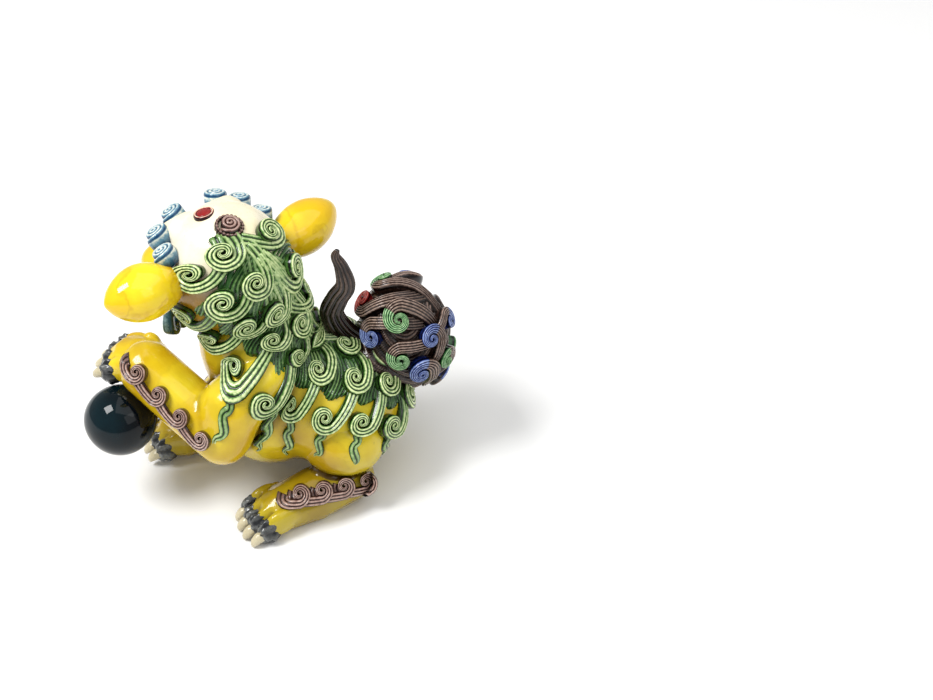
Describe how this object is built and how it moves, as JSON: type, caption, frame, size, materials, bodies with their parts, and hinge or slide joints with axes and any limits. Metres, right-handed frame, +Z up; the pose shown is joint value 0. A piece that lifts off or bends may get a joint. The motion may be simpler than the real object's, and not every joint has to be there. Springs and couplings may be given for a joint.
{
  "type": "foo dog statue",
  "caption": "Crouching glazed ceramic guardian lion that looks back over its shoulder, with a mane of scrolled locks, a bushy tail and a raised forepaw on a ball.",
  "frame": {"origin": "on the floor, under the middle of the plan outline", "axes": "+Z up, the dog's chest faces -Y, +X is the dog's own left"},
  "size_m": [0.135, 0.1893, 0.1671],
  "materials": {
    "body_glaze": "glossy ochre-yellow glaze",
    "head_glaze": "glossy cream glaze shading to mustard at the cheeks",
    "tongue_glaze": "glossy red glaze",
    "tooth_glaze": "glossy ivory glaze",
    "red_glaze": "glossy red glaze",
    "eye_glaze": "glossy white glaze",
    "ear_glaze": "very glossy lemon-yellow glaze with amber pooling",
    "brow_glaze": "glossy blue glaze worn to cream on the ridges",
    "mane_light_glaze": "pale yellow-green glaze, dark in the grooves",
    "mane_mid_glaze": "green glaze, dark in the grooves",
    "mane_dark_glaze": "deep green glaze, near black in the grooves",
    "fur_glaze": "charcoal glaze",
    "claw_glaze": "bone-beige glaze",
    "mauve_glaze": "mauve-brown glaze, dark in the grooves",
    "beard_glaze": "white glaze with green grooves",
    "navy_glaze": "near-black navy glaze",
    "brown_glaze": "brown glaze, dark in the grooves",
    "blue_glaze": "cobalt blue glaze",
    "green_glaze": "green glaze"
  },
  "bodies": {
    "root": {"torso_shell": "body_glaze", "head_shell": "head_glaze", "muzzle": "head_glaze", "lower_jaw": "head_glaze", "tongue": "tongue_glaze", "upper_teeth": "tooth_glaze", "lower_teeth": "tooth_glaze", "nose": "red_glaze", "left_eye": "eye_glaze", "right_eye": "eye_glaze", "left_ear": "ear_glaze", "right_ear": "ear_glaze", "brow_curl_left_1": "brow_glaze", "brow_curl_left_2": "brow_glaze", "brow_curl_left_3": "brow_glaze", "brow_curl_right_1": "brow_glaze", "brow_curl_right_2": "brow_glaze", "brow_curl_right_3": "brow_glaze", "crown_rosette": "mauve_glaze", "forehead_rosette": "red_glaze", "mane_left_upper": "mane_light_glaze", "mane_left_middle": "mane_mid_glaze", "mane_left_lower": "mane_dark_glaze", "mane_right_upper": "mane_light_glaze", "mane_right_middle": "mane_mid_glaze", "mane_right_lower": "mane_dark_glaze", "tendrils_left": "mane_dark_glaze", "tendrils_right": "mane_dark_glaze", "beard_curls": "beard_glaze", "left_arm": "body_glaze", "right_arm": "body_glaze", "left_forepaw": "body_glaze", "right_forepaw": "body_glaze", "left_forepaw_fur": "fur_glaze", "right_forepaw_fur": "fur_glaze", "left_forepaw_claws": "claw_glaze", "right_forepaw_claws": "claw_glaze", "left_arm_curls": "mauve_glaze", "right_arm_curls": "mauve_glaze", "left_thigh": "body_glaze", "right_thigh": "body_glaze", "left_hind_foot": "body_glaze", "right_hind_foot": "body_glaze", "left_hind_fur": "fur_glaze", "right_hind_fur": "fur_glaze", "left_hind_claws": "claw_glaze", "right_hind_claws": "claw_glaze", "left_hind_curls": "mauve_glaze", "right_hind_curls": "mauve_glaze", "ball": "navy_glaze", "tail_core": "brown_glaze", "tail_flame": "brown_glaze", "tail_plumes": "brown_glaze", "tail_spirals_red": "red_glaze", "tail_spirals_blue": "blue_glaze", "tail_spirals_green": "green_glaze"}
  },
  "joints": []
}
